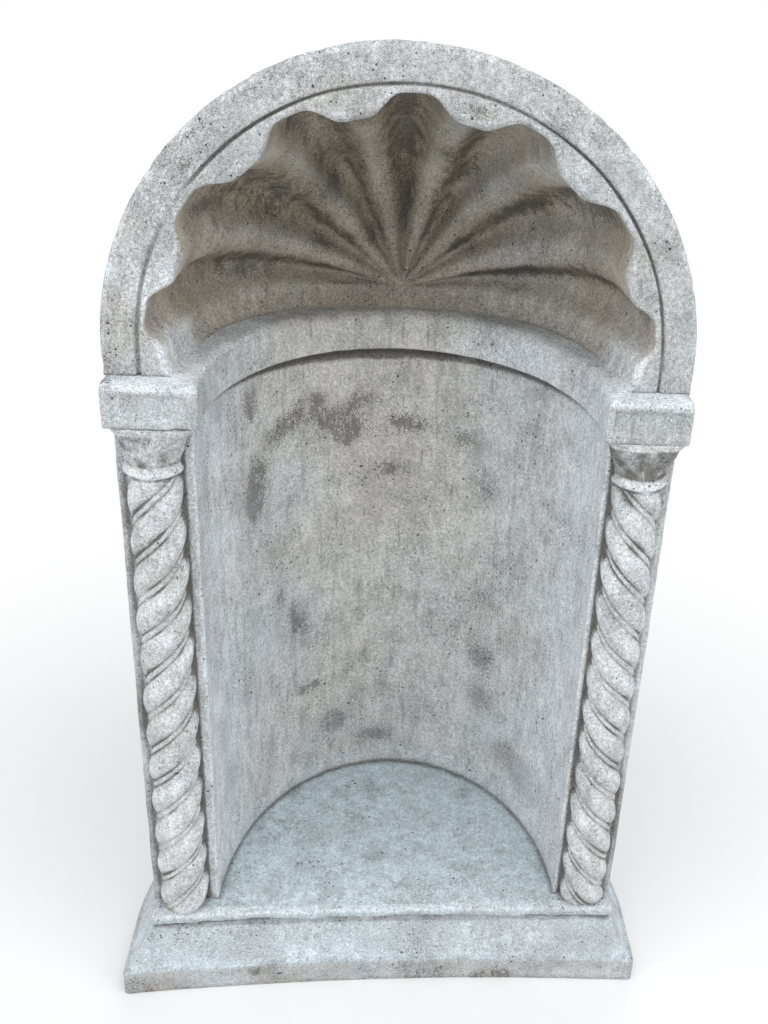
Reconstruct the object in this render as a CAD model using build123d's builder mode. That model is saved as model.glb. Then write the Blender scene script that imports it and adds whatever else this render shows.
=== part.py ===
from build123d import *
import math
import os

os.makedirs("parts", exist_ok=True)

# Overall sizes, in millimetres
total_height = 1200.0
jamb_half = 306.0
wall_depth = 355.0
frame_depth = 60.0
back_step = 4.0
base_projection = 37.5
base_spread = 41.0

# Base moulding and floor slab
floor_z = 133.0
slab_thickness = 13.0
slab_projection = 32.0
slab_bow = 6.0
slab_top_round = 5.0
slab_low_round = 3.0
floor_margin = 1.0
fascia_height = 39.0
fascia_break = 5.0
quirk_height = 6.0
quirk_depth = 2.0
front_break = 3.0
front_splay = 9.0
base_bow = 13.0
back_bulge = 25.0

# Jambs, wall and impost band
jamb_width = 81.0
back_thickness = 74.0
band_height = 48.0
band_inset = 10.0
right_jamb_rays = (0, 60)
left_jamb_rays = (120, 180)
wall_rays = [0, 45, 68, 90, 112, 135, 180]

# Rope-twist columns
column_inset = 40.0
strand_radius = 30.5
fillet_radius = 28.0
groove_radius = 25.0
strand_spacing = 51.0
column_starts = 3
fillet_share = 0.24
shoulder_share = 0.42
strand_start_degrees = 11.0
column_sides = 18
ring_height = 14.0
ring_neck_radius = 28.0
ring_swell = 4.5
ring_height_shares = [0, 0.3, 0.55, 1]
ring_swell_shares = [0, 1, 1, 0.2]
capital_height = 43.0
bell_foot_radius = 29.0
bell_margin = 1.0
bell_setback = 2.0
bell_height_shares = [0, 0.4, 0.75, 0.95, 1]
bell_flare_shares = [0, 0.15, 0.6, 1, 1]

# Abacus blocks
abacus_projection = 34.0
abacus_overhang = 12.0
abacus_side = 3.0
abacus_round = 3.0
panel_margin = 10.0
panel_sink = 2.5

# Shell hood and archivolt
arch_overhang = 6.0
arch_stilt = 24.0
archivolt_width = 37.0
hood_thickness = 45.0
flute_margin = 7.0
ridge_height = 23.0
flute_sink = 12.0
ledge_margin = 2.0
arch_groove = 3.0
arch_edge = 3.0
crest_degrees = [8.5, 34.5, 63.5, 90.0]
ridge_degrees = [20.5, 50.0, 77.0]
foot_degrees = -6.0
hood_power = 2.5
hood_depth_shares = [-0.05, 0.16, 0.32, 0.47, 0.61, 0.73, 0.83, 0.91, 0.96, 0.985, 0.9975]
dome_depth_shares = [0.3, 0.45, 0.6, 0.72, 0.82, 0.9, 0.96, 0.99]
apex_share = 0.15
flute_overrun = 2.0
flute_steps = 8
curve_steps = 9

# The frame: origin under the middle of the box, jamb faces at face_y
total_depth = base_projection + wall_depth
face_y = base_projection - total_depth / 2
base_half = jamb_half + base_spread
back_half = jamb_half - back_step
opening_half = jamb_half - jamb_width
niche_depth = wall_depth - back_thickness
slab_low_z = floor_z - slab_thickness
quirk_low_z = slab_low_z - quirk_height

# Levels and radii of the columns and the arch
arch_radius = jamb_half + arch_overhang
arch_z = total_height - arch_radius
band_high_z = arch_z - arch_stilt
band_low_z = band_high_z - band_height
ring_high_z = band_low_z - capital_height
ring_low_z = ring_high_z - ring_height
column_x = jamb_half - column_inset
abacus_inner = opening_half - abacus_overhang
bell_half_width = column_inset - bell_margin
bell_out = abacus_projection - bell_setback
shell_radius = arch_radius - archivolt_width
shell_depth = wall_depth - hood_thickness
flute_radius = shell_radius - flute_margin
ridge_radius = flute_radius - ridge_height
shell_half = ridge_radius - ledge_margin
half_sides = column_sides // 2
reach = 2 * total_height

front_view = Plane((0, total_depth / 2, 0), x_dir=(1, 0, 0), z_dir=(0, -1, 0))
side_view = Plane((0, face_y, 0), x_dir=(0, 1, 0), z_dir=(1, 0, 0))
arch_side_view = Plane((0, face_y, arch_z), x_dir=(0, 1, 0), z_dir=(1, 0, 0))
arch_axis = Axis((0, face_y, arch_z), (0, 1, 0))


def full_share(depth_share):
    """Share of the half width that is left at a share of the depth."""
    return (1 - depth_share**hood_power) ** (1 / hood_power)


def rounded_plan(half_width, depth):
    """Points of the round-cornered half plan, from right to left."""
    points = []
    for step in range(2 * curve_steps + 1):
        turn = math.pi * step / (2 * curve_steps)
        across = math.cos(turn)
        side_share = math.copysign(abs(across) ** (2 / hood_power), across)
        back_share = abs(math.sin(turn)) ** (2 / hood_power)
        points.append((half_width * side_share, depth * back_share))
    return points


def ray(radius, degrees):
    """Point at a distance and a direction from the sketch origin."""
    turn = math.radians(degrees)
    return (radius * math.cos(turn), radius * math.sin(turn))


def bow_axis(projection, bow, half_width):
    """Upright axis, far in front, that bows a front edge inwards at its middle."""
    bow_radius = (half_width**2 + bow**2) / (2 * bow)
    return Axis((0, face_y - projection + bow - bow_radius, 0), (0, 0, 1))


def save(piece, name):
    """Name a finished piece and write it out."""
    piece.part.label = name
    export_step(piece.part, "parts/" + name + ".step")


def base_plan(half_width, z):
    """Level plan of the base: straight sides at the front, half an ellipse behind, cut flat at the back."""
    back_depth = wall_depth - frame_depth
    with BuildSketch(Plane((0, face_y + frame_depth, z))) as plan:
        Ellipse(half_width, back_depth + back_bulge)
        Rectangle(2 * half_width, 2 * wall_depth, align=(Align.CENTER, Align.MAX))
        with Locations((0, back_depth)):
            Rectangle(2 * half_width, wall_depth, align=(Align.CENTER, Align.MIN), mode=Mode.SUBTRACT)
    return plan.sketch


# Base moulding: fascia, splay and quirk in plan, with the bowed front turned about a far axis
splay_foot = base_half - fascia_break
splay_head = jamb_half - quirk_depth
with BuildPart() as base_moulding:
    add(base_plan(base_half, 0))
    extrude(amount=fascia_height)
    add(base_plan(splay_foot, fascia_height))
    add(base_plan(splay_head, quirk_low_z))
    loft(ruled=True)
    add(base_plan(splay_head, quirk_low_z))
    extrude(amount=quirk_height)
    with BuildSketch(side_view):
        fascia_y = base_bow - base_projection
        foot_y = fascia_y + front_break
        hollow_y = foot_y + front_splay
        with BuildLine():
            Polyline(
                (wall_depth * 2, 0),
                (fascia_y, 0),
                (fascia_y, fascia_height),
                (foot_y, fascia_height),
                (hollow_y, quirk_low_z),
                (hollow_y, slab_low_z),
                (wall_depth * 2, slab_low_z),
                close=True,
            )
        make_face()
    revolve(axis=bow_axis(base_projection, base_bow, base_half), mode=Mode.INTERSECT)
save(base_moulding, "base_moulding")

# Floor slab: thin slab on the same plan, with a rounded lip along the front
with BuildPart() as floor_slab:
    add(base_plan(jamb_half, slab_low_z))
    extrude(amount=slab_thickness)
    with BuildSketch(side_view):
        lip_y = slab_bow - slab_projection
        with BuildLine():
            Polyline((wall_depth * 2, slab_low_z), (lip_y + slab_low_round, slab_low_z))
            RadiusArc(
                (lip_y + slab_low_round, slab_low_z),
                (lip_y, slab_low_z + slab_low_round),
                slab_low_round,
            )
            Line((lip_y, slab_low_z + slab_low_round), (lip_y, floor_z - slab_top_round))
            RadiusArc(
                (lip_y, floor_z - slab_top_round),
                (lip_y + slab_top_round, floor_z),
                slab_top_round,
            )
            Polyline(
                (lip_y + slab_top_round, floor_z),
                (wall_depth * 2, floor_z),
                (wall_depth * 2, slab_low_z),
            )
        make_face()
    revolve(axis=bow_axis(slab_projection, slab_bow, jamb_half), mode=Mode.INTERSECT)
    with BuildSketch(Plane((0, face_y, slab_low_z))) as floor_plan:
        Ellipse(opening_half - floor_margin, niche_depth - floor_margin)
        Rectangle(2 * jamb_half, 2 * niche_depth, align=(Align.CENTER, Align.MAX), mode=Mode.SUBTRACT)
    extrude(amount=slab_thickness, mode=Mode.SUBTRACT)
save(floor_slab, "floor_slab")

# Niche floor: the flat seat for a statue, filling the slab's cut-out
with BuildPart() as niche_floor:
    add(floor_plan.sketch)
    extrude(amount=slab_thickness)
save(niche_floor, "niche_floor")


def ring_piece(name, low_z, high_z, inset, degrees, keep_front, keep_back):
    """One upright piece of the niche ring between two rays, with its inner face set in by inset."""
    with BuildPart() as piece:
        with BuildSketch(Plane((0, face_y, low_z))):
            if keep_back:
                Ellipse(back_half, wall_depth)
                Rectangle(2 * jamb_half, wall_depth, align=(Align.CENTER, Align.MAX), mode=Mode.SUBTRACT)
            front_mode = Mode.ADD if keep_front else Mode.SUBTRACT
            Rectangle(2 * jamb_half, frame_depth, align=(Align.CENTER, Align.MIN), mode=front_mode)
            Ellipse(opening_half - inset, niche_depth - inset, mode=Mode.SUBTRACT)
            with BuildLine():
                Polyline((0, 0), ray(reach, degrees[0]), ray(reach, degrees[1]), close=True)
            make_face(mode=Mode.INTERSECT)
        extrude(amount=high_z - low_z)
    save(piece, name)


# Jambs, wall pieces behind them and the impost band on top
ring_piece("right_jamb", floor_z, band_low_z, 0, right_jamb_rays, True, False)
ring_piece("left_jamb", floor_z, band_low_z, 0, left_jamb_rays, True, False)
wall_names = ["right_front", "right_middle", "right_back", "left_back", "left_middle", "left_front"]
for number, place in enumerate(wall_names):
    rays = (wall_rays[number], wall_rays[number + 1])
    ring_piece("wall_" + place, floor_z, band_low_z, 0, rays, False, True)
    ring_piece("impost_" + place, band_low_z, band_high_z, band_inset, rays, True, True)


def half_row(half_width, reach_out, start_z, rise, side):
    """Points on a half turn of a column, from its outer to its inner edge, climbing by rise."""
    row = []
    for number in range(half_sides + 1):
        turn_share = number / half_sides
        across = math.cos(math.pi * turn_share) * half_width
        out = math.sin(math.pi * turn_share) * reach_out
        row.append(Vector(side * across, -out, start_z + rise * turn_share))
    return row


def half_turned(rows):
    """Flat-sided, flat-backed solid through rows of half turns, foot row first."""
    near = [row[0] for row in rows]
    far = [row[-1] for row in rows]
    foot = Vector(0, 0, near[0].Z)
    head = Vector(0, 0, far[-1].Z)
    faces = [Face(Wire.make_polygon([foot] + near + [head] + far[::-1]))]
    for lower, upper in zip(rows, rows[1:]):
        for number in range(half_sides):
            faces.append(Face(Wire.make_polygon([lower[number], lower[number + 1], upper[number + 1]])))
            faces.append(Face(Wire.make_polygon([lower[number], upper[number + 1], upper[number]])))
    for number in range(half_sides):
        faces.append(Face(Wire.make_polygon([foot, rows[0][number], rows[0][number + 1]])))
        faces.append(Face(Wire.make_polygon([head, rows[-1][number], rows[-1][number + 1]])))
    return Solid(Shell(faces))


def rope_rows(side):
    """Rows along the strands and grooves of a rope twist, longer than the shaft at both ends."""
    lead = column_starts * strand_spacing
    strand_turn = (1 - fillet_share) / 2
    strand_shape = [
        (-strand_turn, groove_radius),
        (-strand_turn * shoulder_share, strand_radius),
        (strand_turn * shoulder_share, strand_radius),
        (strand_turn, groove_radius),
        (1 / 2, fillet_radius),
    ]
    first_z = floor_z + lead * (strand_start_degrees - 180) / 360 - strand_spacing
    strands = math.ceil((ring_low_z - floor_z + lead) / strand_spacing) + 1
    rows = []
    for strand in range(strands):
        for rise_share, radius in strand_shape:
            start_z = first_z + (strand + rise_share) * strand_spacing
            rows.append(half_row(radius, radius, start_z, lead / 2, side))
    return rows


def column(side_name, side):
    """One rope-twist shaft with its ring, capital and abacus, all flat-backed on the jamb face."""
    on_jamb = Location((side * column_x, face_y, 0))
    with BuildPart() as shaft:
        add(half_turned(rope_rows(side)).moved(on_jamb))
        split(bisect_by=Plane((0, 0, floor_z)), keep=Keep.TOP)
        split(bisect_by=Plane((0, 0, ring_low_z)), keep=Keep.BOTTOM)
    save(shaft, side_name + "_shaft")

    with BuildPart() as neck_ring:
        rows = []
        for height_share, swell_share in zip(ring_height_shares, ring_swell_shares):
            radius = ring_neck_radius + ring_swell * swell_share
            rows.append(half_row(radius, radius, ring_low_z + ring_height * height_share, 0, side))
        add(half_turned(rows).moved(on_jamb))
    save(neck_ring, side_name + "_neck_ring")

    with BuildPart() as capital:
        rows = []
        for height_share, flare_share in zip(bell_height_shares, bell_flare_shares):
            half_width = bell_foot_radius + (bell_half_width - bell_foot_radius) * flare_share
            bell_reach = bell_foot_radius + (bell_out - bell_foot_radius) * flare_share
            rows.append(half_row(half_width, bell_reach, ring_high_z + capital_height * height_share, 0, side))
        add(half_turned(rows).moved(on_jamb))
    save(capital, side_name + "_capital")

    abacus_outer = jamb_half + abacus_side
    abacus_width = abacus_outer - abacus_inner
    abacus_middle = side * (abacus_outer + abacus_inner) / 2
    with BuildPart() as abacus:
        with BuildSketch(Plane((abacus_middle, face_y, band_low_z))):
            Rectangle(abacus_width, abacus_projection, align=(Align.CENTER, Align.MAX))
        extrude(amount=band_height)
        fillet(abacus.faces().sort_by(Axis.Y)[0].edges(), abacus_round)
        front_y = face_y - abacus_projection
        middle_z = (band_low_z + band_high_z) / 2
        with BuildSketch(Plane((abacus_middle, front_y, middle_z), x_dir=(1, 0, 0), z_dir=(0, -1, 0))):
            Rectangle(abacus_width - 2 * panel_margin, band_height - 2 * panel_margin)
        extrude(amount=-panel_sink, mode=Mode.SUBTRACT)
    save(abacus, side_name + "_abacus")


column("left", -1)
column("right", 1)

# Archivolt: plain band turned about the arch centre, standing on the impost
with BuildPart() as archivolt:
    with BuildSketch(arch_side_view):
        with BuildLine():
            Polyline(
                (arch_groove, shell_radius),
                (0, shell_radius + arch_groove),
                (0, arch_radius - arch_edge),
                (arch_edge, arch_radius),
                (frame_depth, arch_radius),
                (frame_depth, shell_radius),
                close=True,
            )
        make_face()
    revolve(axis=arch_axis)
    split(bisect_by=Plane((0, 0, band_high_z)), keep=Keep.TOP)
save(archivolt, "archivolt")

# Bearings where the shell's ridges and flutes take turns, with 1 for a flute and 0 for a ridge
wave = [(foot_degrees, 0)]
for number, ridge in enumerate(ridge_degrees):
    wave.append((crest_degrees[number], 1))
    wave.append((ridge, 0))
wave.append((crest_degrees[-1], 1))
for degrees, flute_share in reversed(wave[:-1]):
    wave.append((180 - degrees, flute_share))


def wave_share(degrees):
    """How far one direction lies from ridge to flute."""
    for before, after in zip(wave, wave[1:]):
        if before[0] <= degrees <= after[0]:
            along_share = (degrees - before[0]) / (after[0] - before[0])
            rise_share = (1 - math.cos(math.pi * along_share)) / 2
            return before[1] + (after[1] - before[1]) * rise_share
    return 0


# Round outside of the hood, cut level on top of the impost
with BuildPart() as hood:
    with BuildSketch(arch_side_view):
        dome = [(wall_depth * share, back_half * math.sqrt(1 - share**2)) for share in dome_depth_shares]
        with BuildLine():
            Polyline(
                (0, 0),
                (0, shell_radius - arch_groove),
                (arch_groove, shell_radius),
                (frame_depth, shell_radius),
                (frame_depth, back_half * math.sqrt(1 - (frame_depth / wall_depth) ** 2)),
                *dome,
                (wall_depth, 0),
                close=True,
            )
        make_face()
    revolve(axis=arch_axis)
    split(bisect_by=Plane((0, 0, band_high_z)), keep=Keep.TOP)


def horn(rows):
    """Flat-sided solid through rows of points, front row first."""
    faces = [Face(Wire.make_polygon(rows[0])), Face(Wire.make_polygon(rows[-1]))]
    for front, back in zip(rows, rows[1:]):
        for number in range(len(front)):
            before = number - 1
            faces.append(Face(Wire.make_polygon([front[before], front[number], back[number]])))
            faces.append(Face(Wire.make_polygon([front[before], back[number], back[before]])))
    return Solid(Shell(faces))


def flute(name, first_ray, last_ray):
    """One flute of the shell between two ridges, its hollow sunk deeper than the ridges at the hinge."""
    start = max(first_ray, foot_degrees)
    stop = min(last_ray, 180 - foot_degrees)
    bearings = [start + (stop - start) * step / flute_steps for step in range(flute_steps + 1)]
    bearings = [start - flute_overrun, *bearings, stop + flute_overrun]
    halfway = (first_ray + last_ray) / 2
    with BuildPart() as piece:
        add(hood.part)
        with BuildSketch(Plane((0, face_y, arch_z), x_dir=(1, 0, 0), z_dir=(0, -1, 0))):
            with BuildLine():
                Polyline((0, 0), ray(reach, first_ray), ray(reach, halfway), ray(reach, last_ray), close=True)
            make_face()
        extrude(amount=-reach, mode=Mode.INTERSECT)
        rows = []
        for depth_share in hood_depth_shares:
            horn_depth = shell_depth * depth_share
            ridge_reach = ridge_radius * full_share(abs(depth_share))
            flute_reach = flute_radius * full_share(abs(horn_depth) / (shell_depth + flute_sink))
            edge = [ray(-apex_share * flute_reach, (start + stop) / 2)]
            for bearing in bearings:
                edge_radius = ridge_reach + (flute_reach - ridge_reach) * wave_share(bearing)
                edge.append(ray(edge_radius, bearing))
            rows.append([Vector(across, face_y + horn_depth, arch_z + up) for across, up in edge])
        add(horn(rows), mode=Mode.SUBTRACT)
        with BuildSketch(Plane((0, face_y, band_high_z))):
            with BuildLine():
                Polyline(*rounded_plan(shell_half, shell_depth), close=True)
            make_face()
        extrude(amount=arch_z - band_high_z, mode=Mode.SUBTRACT)
    save(piece, name)


# One piece a flute, parted along the ridges
low, middle, high = ridge_degrees
flute("flute_right_low", -90, low)
flute("flute_right_middle", low, middle)
flute("flute_right_high", middle, high)
flute("flute_centre", high, 180 - high)
flute("flute_left_high", 180 - high, 180 - middle)
flute("flute_left_middle", 180 - middle, 180 - low)
flute("flute_left_low", 180 - low, 270)
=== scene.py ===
import math

import bmesh
import bpy
import numpy as np
from mathutils import Matrix, Vector


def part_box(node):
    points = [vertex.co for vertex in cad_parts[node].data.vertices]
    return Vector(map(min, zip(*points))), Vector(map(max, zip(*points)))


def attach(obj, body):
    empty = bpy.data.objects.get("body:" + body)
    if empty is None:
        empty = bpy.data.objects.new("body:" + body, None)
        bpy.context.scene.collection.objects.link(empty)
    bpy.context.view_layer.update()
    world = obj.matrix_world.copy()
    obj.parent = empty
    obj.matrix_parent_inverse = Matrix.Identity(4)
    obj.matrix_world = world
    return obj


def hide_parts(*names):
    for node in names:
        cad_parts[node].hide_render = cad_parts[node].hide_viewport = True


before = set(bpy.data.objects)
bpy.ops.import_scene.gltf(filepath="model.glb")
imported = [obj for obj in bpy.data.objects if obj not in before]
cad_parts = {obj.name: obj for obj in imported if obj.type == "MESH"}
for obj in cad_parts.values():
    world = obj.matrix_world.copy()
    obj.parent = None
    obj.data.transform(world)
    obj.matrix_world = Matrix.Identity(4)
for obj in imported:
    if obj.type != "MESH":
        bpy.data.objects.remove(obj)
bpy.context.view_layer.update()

# All shapes are drawn in millimetres, with y measured inwards from the jamb face
MM = 0.001


def node_box(name):
    """Lowest and highest corner of a CAD node, in millimetres."""
    low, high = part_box(name)
    return [value / MM for value in low], [value / MM for value in high]


# Sizes taken from the CAD nodes
slab_low, slab_high = node_box("floor_slab")
base_low, base_high = node_box("base_moulding")
jamb_low, jamb_high = node_box("right_jamb")
abacus_low, abacus_high = node_box("right_abacus")
shaft_low, shaft_high = node_box("right_shaft")
ring_low, ring_high = node_box("right_neck_ring")
arch_high = node_box("archivolt")[1]
floor_high = node_box("niche_floor")[1]
FACE_Y = jamb_low[1]
BACK_Y = base_high[1] - FACE_Y
FLOOR_Z = slab_high[2]
SLAB_Z = slab_low[2]
JAMB_HALF = jamb_high[0]
BASE_HALF = base_high[0]
FRAME_DEPTH = jamb_high[1] - FACE_Y
BAND_LOW_Z, BAND_HIGH_Z = abacus_low[2], abacus_high[2]
ABACUS_INNER = abacus_low[0]
ABACUS_OUTER = abacus_high[0]
ABACUS_FRONT = FACE_Y - abacus_low[1]
COLUMN_X = (shaft_low[0] + shaft_high[0]) / 2
RING_LOW_Z, RING_HIGH_Z = ring_low[2], ring_high[2]
ARCH_RADIUS = arch_high[0]
ARCH_Z = arch_high[2] - ARCH_RADIUS
BASE_FRONT = FACE_Y - base_low[1]
LIP_FRONT = FACE_Y - slab_low[1]

# Niche opening and round back
FLOOR_MARGIN = 1.0
OPENING_HALF = floor_high[0] + FLOOR_MARGIN
NICHE_DEPTH = floor_high[1] + FLOOR_MARGIN - FACE_Y
OPENING_SHIFT = 2.5
BACK_HALF = 302.0
BACK_START = math.asin(FRAME_DEPTH / BACK_Y)
BACK_STEP_X = BACK_HALF * math.cos(BACK_START)

# Noise hash and the sizes of the cast surface's unevenness
HASH_X, HASH_Y, HASH_Z, HASH_SEED, HASH_MIX = 73856093, 19349663, 83492791, 2654435, 1274126177
WAVE_SIZE, DENT_SIZE, LUMP_SIZE = 160, 38, 9
CAST_ROUGH = (0.8, 0.5, 0.22)
COLUMN_ROUGH = (0.5, 0.5, 0.3)
MERGE_DISTANCE, SHORTEST_EDGE = 0.02, 0.001
# Vertex masks for the material; besides real dirt, stains, patina and wear, the dark ones carry painted shade and
# the pale one painted highlights
MASKS = ("grime_and_shade", "stain_and_shade", "wear_and_highlight", "warm", "patina_and_shade")


def lattice_noise(points, size, seed):
    """Smooth random field from -1 to 1 with blobs about size millimetres wide."""
    places = points / size + 31.7 * seed
    cell = np.floor(places).astype(np.int64)
    part = places - cell
    part = part**3 * (part * (part * 6 - 15) + 10)
    total = np.zeros(len(points))
    for corner in range(8):
        step = np.array([corner & 1, corner >> 1 & 1, corner >> 2])
        at = cell + step
        mixed = (at[:, 0] * HASH_X) ^ (at[:, 1] * HASH_Y) ^ (at[:, 2] * HASH_Z) ^ (seed * HASH_SEED)
        mixed = (mixed ^ (mixed >> 13)) * HASH_MIX & 0xFFFFFFFF
        mixed = (mixed ^ (mixed >> 16)) & 0xFFFF
        weight = np.prod(np.where(step == 1, part, 1 - part), axis=1)
        total += weight * (mixed / 32767.5 - 1)
    return total


def fractal(points, size, seed, octaves=3):
    """Several layers of noise, each half as wide and half as strong."""
    total = np.zeros(len(points))
    for octave in range(octaves):
        total += lattice_noise(points, size / 2**octave, seed + octave) / 2**octave
    return total


def smooth(low, high, value):
    """Soft step from 0 at low to 1 at high."""
    t = np.clip((value - low) / (high - low), 0, 1)
    return t * t * (3 - 2 * t)


def bump(value, centre, width):
    """Soft hump of height 1."""
    return np.exp(-(((value - centre) / width) ** 2))


def patches(table, first, second):
    """Sum of soft spots over two coordinates: two centres, two half widths and a strength each."""
    total = np.zeros(len(first))
    for first_at, second_at, first_half, second_half, strength in table:
        total += strength * bump(first, first_at, first_half) * bump(second, second_at, second_half)
    return total


def spread(count, gather):
    """Shares from 0 to 1, gathered towards both ends."""
    places = np.tanh(gather * np.linspace(-1, 1, count)) / np.tanh(gather)
    return (places + 1) / 2


def quarter_round(count):
    """Pairs of rise and setback, both from 0 to 1, along a quarter circle."""
    return [(math.sin(turn), 1 - math.cos(turn)) for turn in np.linspace(0, math.pi / 2, count)]


def grid_faces(rows, columns, wrap, start=0):
    """Quads over a grid of points; wrap joins the last column to the first."""
    index = np.arange(rows * columns).reshape(rows, columns) + start
    here = index if wrap else index[:, :-1]
    there = np.roll(index, -1, axis=1) if wrap else index[:, 1:]
    return np.stack([here[:-1], there[:-1], there[1:], here[1:]], axis=-1).reshape(-1, 4).tolist()


def roughen(points, normals, wave, dent, lump):
    """Uneven cast surface: wide waves, hand-sized dents and small lumps."""
    depth = wave * lattice_noise(points, WAVE_SIZE, 1)
    depth += dent * lattice_noise(points, DENT_SIZE, 2)
    depth += lump * fractal(points, LUMP_SIZE, 3, 2)
    return points + normals * depth[:, None]


def make_piece(name, points, faces, masks, material, nodes, rough=CAST_ROUGH, carve=None):
    """Mesh object from millimetre points, roughened, with its masks, material and CAD nodes."""
    mesh = bpy.data.meshes.new(name)
    mesh.from_pydata(points.tolist(), [], faces)
    for mask in MASKS:
        values = np.clip(masks.get(mask, np.zeros(len(points))), 0, 1).astype(np.float32)
        mesh.attributes.new(mask, "FLOAT", "POINT").data.foreach_set("value", values)
    shape = bmesh.new()
    shape.from_mesh(mesh)
    bmesh.ops.remove_doubles(shape, verts=shape.verts, dist=MERGE_DISTANCE)
    bmesh.ops.dissolve_degenerate(shape, edges=shape.edges, dist=SHORTEST_EDGE)
    open_edges = [edge for edge in shape.edges if edge.is_boundary]
    bmesh.ops.holes_fill(shape, edges=open_edges, sides=0)
    bmesh.ops.recalc_face_normals(shape, faces=shape.faces)
    for face in shape.faces:
        face.smooth = True
    shape.to_mesh(mesh)
    shape.free()
    count = len(mesh.vertices)
    place = np.empty(count * 3)
    normal = np.empty(count * 3)
    mesh.vertices.foreach_get("co", place)
    mesh.vertices.foreach_get("normal", normal)
    normal = normal.reshape(-1, 3)
    place = roughen(place.reshape(-1, 3), normal, *rough)
    if carve:
        place = carve(place, normal)
    place[:, 1] += FACE_Y
    mesh.vertices.foreach_set("co", (place * MM).ravel())
    mesh.update()
    piece = bpy.data.objects.new(name, mesh)
    bpy.context.collection.objects.link(piece)
    mesh.materials.append(material)
    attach(piece, "root")
    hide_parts(*nodes)


def rounded_path(points, radii, steps=10):
    """Path with rounded corners, closed at the middle of the first, and the station of each corner's middle."""
    points = [np.array(point, float) for point in points]
    path, middles = [], []
    for number, point in enumerate(points):
        radius = radii[number]
        if radius == 0:
            middles.append(len(path))
            path.append(point)
            continue
        before = points[number - 1] - point
        after = points[(number + 1) % len(points)] - point
        before, after = before / np.linalg.norm(before), after / np.linalg.norm(after)
        half = math.acos(np.clip(before @ after, -1, 1)) / 2
        centre = point + (before + after) / np.linalg.norm(before + after) * radius / math.sin(half)
        start = point + before * radius / math.tan(half)
        stop = point + after * radius / math.tan(half)
        middles.append(len(path) + steps // 2)
        for step in range(steps + 1):
            chord = start + (stop - start) * step / steps - centre
            path.append(centre + chord / np.linalg.norm(chord) * radius)
    first = middles[0]
    stations = [middle - first for middle in middles] + [len(path)]
    path = np.roll(np.array(path), -first, axis=0)
    return np.vstack([path, path[:1]]), stations


def sample(path, first, last, shares):
    """Points along part of a path, from one station to just before another, at shares of its length."""
    part = path[first : last + 1]
    length = np.concatenate([[0], np.cumsum(np.linalg.norm(np.diff(part, axis=0), axis=1))])
    at = shares[:-1] * length[-1]
    return np.stack([np.interp(at, length, part[:, axis]) for axis in range(2)], axis=1)


# Node materials


class Nodes:
    """Small helper that adds shader nodes to a tree and links them."""

    def __init__(self, tree):
        self.tree = tree

    def add(self, kind, **settings):
        node = self.tree.nodes.new("ShaderNode" + kind)
        for key, value in settings.items():
            setattr(node, key, value)
        return node

    def put(self, socket, value):
        """Link a socket to another, or set its constant."""
        if isinstance(value, bpy.types.NodeSocket):
            self.tree.links.new(value, socket)
        else:
            socket.default_value = value

    def math(self, operation, first, second):
        node = self.add("Math", operation=operation)
        self.put(node.inputs[0], first)
        self.put(node.inputs[1], second)
        return node.outputs[0]

    def sum(self, first, *others):
        for other in others:
            first = self.math("ADD", first, other)
        return first

    def times(self, first, second):
        return self.math("MULTIPLY", first, second)

    def away(self, value, strength):
        """How far a noise lies from its middle, times a strength."""
        return self.times(self.math("SUBTRACT", value, 0.5), strength)

    def noise(self, where, scale, detail, roughness=0.55):
        node = self.add("TexNoise")
        self.put(node.inputs["Vector"], where)
        node.inputs["Scale"].default_value = scale
        node.inputs["Detail"].default_value = detail
        node.inputs["Roughness"].default_value = roughness
        return node.outputs["Fac"]

    def ramp(self, value, low, high, out_low=0.0, out_high=1.0):
        node = self.add("MapRange", interpolation_type="SMOOTHSTEP")
        self.put(node.inputs[0], value)
        for socket, number in zip(node.inputs[1:5], (low, high, out_low, out_high)):
            socket.default_value = number
        return node.outputs[0]

    def mix(self, amount, first, second, blend="MIX"):
        node = self.add("Mix", data_type="RGBA", blend_type=blend)
        self.put(node.inputs["Factor"], amount)
        self.put(node.inputs[6], first)
        self.put(node.inputs[7], second)
        return node.outputs[2]

    def blend_shaders(self, amount, first, second):
        node = self.add("MixShader")
        for socket, value in zip(node.inputs, (amount, first.outputs[0], second.outputs[0])):
            self.put(socket, value)
        return node.outputs[0]

    def mask(self, name):
        return self.add("Attribute", attribute_name=name).outputs["Fac"]

    def torn_mask(self, name, torn, reach, edge, strength):
        """A mask with a torn outline, held to where the mask is."""
        mask = self.mask(name)
        inside = self.ramp(self.sum(mask, torn), *reach, 0.0, strength)
        return self.times(inside, self.ramp(mask, *edge))

    def squeezed(self, where, share):
        """Coordinates squeezed in height, so a texture runs downwards."""
        mapping = self.add("Mapping")
        self.put(mapping.inputs["Vector"], where)
        mapping.inputs["Scale"].default_value = (1.0, 1.0, share)
        return mapping.outputs[0]

    def seen_directly(self):
        """1 on what the camera sees, also in a reflection or through glass."""
        path = self.add("LightPath")
        seen = self.math("MAXIMUM", path.outputs["Is Camera Ray"], path.outputs["Is Glossy Ray"])
        return self.math("MAXIMUM", seen, path.outputs["Is Transmission Ray"])


def new_material(name):
    """Material with its node helper and its shader."""
    material = bpy.data.materials.new(name)
    material.use_nodes = True
    return material, Nodes(material.node_tree), material.node_tree.nodes["Principled BSDF"]


DARK = (0.22, 0.22, 0.215, 1)
# Dark brown of dirt, also used for painted shade in creases, gaps and hollows
GRIME_AND_SHADE_COLOUR = (0.075, 0.068, 0.058, 1)
# Browns of the patina film, also used for painted shade in the shell's flutes
BROWN_PALE, BROWN_DARK, BROWN_SPECK = (0.43, 0.36, 0.265, 1), (0.17, 0.145, 0.11, 1), (0.055, 0.05, 0.044, 1)
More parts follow.
